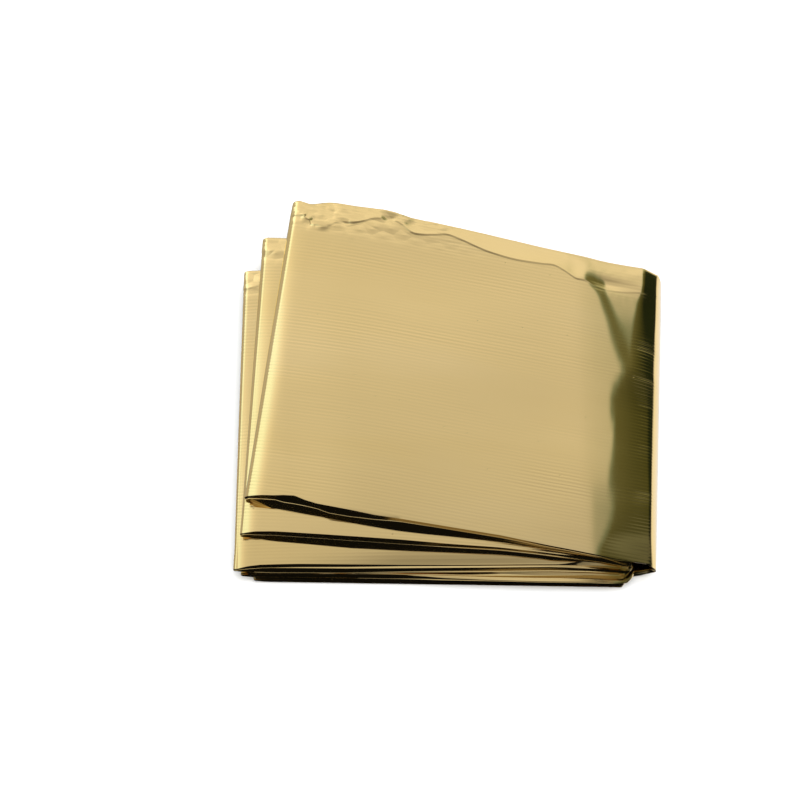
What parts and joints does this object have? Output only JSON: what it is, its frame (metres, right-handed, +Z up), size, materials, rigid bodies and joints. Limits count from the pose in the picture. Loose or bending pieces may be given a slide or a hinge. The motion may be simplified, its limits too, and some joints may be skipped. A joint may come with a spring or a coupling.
{
  "type": "emergency foil blanket",
  "caption": "Folded emergency foil blanket: metallised film in back-and-forth leaves, fanned at one side and wrapped round the other, lying flat to hold for warmth in first aid.",
  "frame": {"origin": "middle of the packet's plan, on the surface it rests on", "axes": "+X along the leaves towards the wrapped side, +Y from the near edge to the back edge, +Z up"},
  "size_m": [0.134, 0.123, 0.0238],
  "materials": {
    "gold_foil": "gold-toned metallised film, mirror-bright with fine lines along the strip and soft creases"
  },
  "bodies": {
    "root": {"foil_blanket": "gold_foil"}
  },
  "joints": []
}
